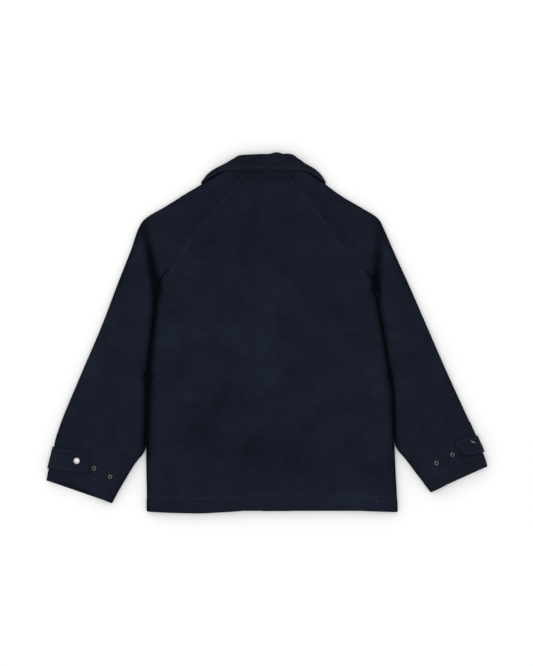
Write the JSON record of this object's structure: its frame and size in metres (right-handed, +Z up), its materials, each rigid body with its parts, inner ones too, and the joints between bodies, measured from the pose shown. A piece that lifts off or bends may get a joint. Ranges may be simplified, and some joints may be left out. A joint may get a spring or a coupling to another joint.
{
  "type": "jacket",
  "caption": "Dark navy wool jacket with raglan sleeves, turned-down collar and snap tabs at the cuffs, laid flat on its front with its back up",
  "frame": {"origin": "The middle of the whole outline seen from above, at the height of the surface that the jacket lies on.", "axes": "+X points to the viewer's right over the back, which is the wearer's right, +Y points from the hem to the collar, and +Z points up out of the back."},
  "size_m": [0.881, 0.7131, 0.0337],
  "materials": {
    "navy_wool": "brushed wool melton, matt with a fine nap",
    "snap_metal": "smooth nickel-plated metal, softly polished"
  },
  "bodies": {
    "root": {"back_panel": "navy_wool", "collar": "navy_wool", "cuff_tab_left": "navy_wool", "cuff_tab_right": "navy_wool", "front_left": "navy_wool", "front_right": "navy_wool", "sleeve_left_back": "navy_wool", "sleeve_left_front": "navy_wool", "sleeve_right_back": "navy_wool", "sleeve_right_front": "navy_wool", "cuff_cap_left": "snap_metal", "cuff_cap_right": "snap_metal", "cuff_stud_left_1": "snap_metal", "cuff_stud_left_2": "snap_metal", "cuff_stud_right_1": "snap_metal", "cuff_stud_right_2": "snap_metal", "front_snap_1": "snap_metal", "front_snap_2": "snap_metal", "front_snap_3": "snap_metal", "front_snap_4": "snap_metal", "front_snap_5": "snap_metal", "front_snap_6": "snap_metal"}
  },
  "joints": []
}
